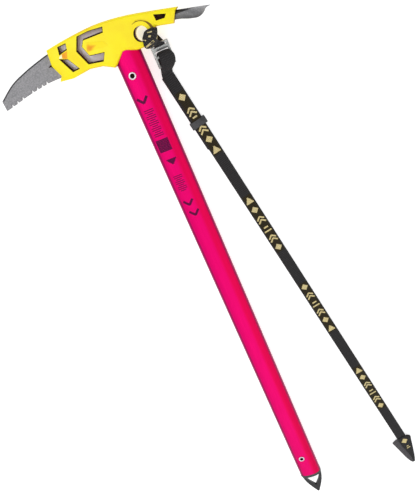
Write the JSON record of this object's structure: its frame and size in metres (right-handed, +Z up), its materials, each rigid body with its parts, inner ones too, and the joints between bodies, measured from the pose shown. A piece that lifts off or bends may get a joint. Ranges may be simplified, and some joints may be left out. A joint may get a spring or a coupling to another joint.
{
  "type": "ice axe",
  "caption": "Ice axe with a toothed pick, scooped adze, moulded head cover, oval metal shaft, spike and a webbing wrist leash with a buckle and a sliding keeper.",
  "frame": {"origin": "on the surface the axe lies on, below the middle of the axe's own box, leash left out", "axes": "+Z up from the surface, +Y along the shaft towards the head, +X towards the adze"},
  "size_m": [0.3193, 0.7658, 0.0488],
  "materials": {
    "pick_steel": "matte ground steel",
    "adze_steel": "dark satin",
    "spike_steel": "black satin",
    "rivet_metal": "bright",
    "cover_plastic": "satin moulded",
    "shaft_paint": "anodised magenta",
    "insert_plastic": "matte",
    "webbing": "woven tape",
    "buckle_steel": "worn bright"
  },
  "bodies": {
    "axe": {"adze_blade": "adze_steel", "adze_rivet_1": "rivet_metal", "adze_rivet_2": "rivet_metal", "cover_back": "cover_plastic", "cover_front": "cover_plastic", "head_insert_back": "insert_plastic", "head_insert_front": "insert_plastic", "head_rivet": "rivet_metal", "pick_plate": "pick_steel", "shaft_tube": "shaft_paint", "spike": "spike_steel", "spike_insert_back": "insert_plastic", "spike_insert_front": "insert_plastic", "spike_rivet": "rivet_metal"},
    "leash_loop": {"anchor_loop": "webbing"},
    "leash": {"buckle_frame": "buckle_steel", "strap_fold": "webbing", "strap_front": "webbing", "strap_back": "webbing", "strap_tail": "webbing", "wrist_fold": "webbing"},
    "keeper": {"keeper": "insert_plastic"}
  },
  "joints": [
    {"name": "leash_swing", "type": "hinge", "parent": "axe", "child": "leash_loop", "pos_m": [0.04946, 0.34342, 0.01783], "axis": [0, 0, 1], "range_deg": [-6, 20]},
    {"name": "buckle_tilt", "type": "hinge", "parent": "leash_loop", "child": "leash", "pos_m": [0.0619, 0.3276, 0.013], "axis": [-1, 0, 0], "range_deg": [0, 22]},
    {"name": "keeper_slide", "type": "slide", "parent": "leash", "child": "keeper", "axis": [0.1843, -0.9829, 0], "range_m": [-0.045, 0.55]}
  ]
}
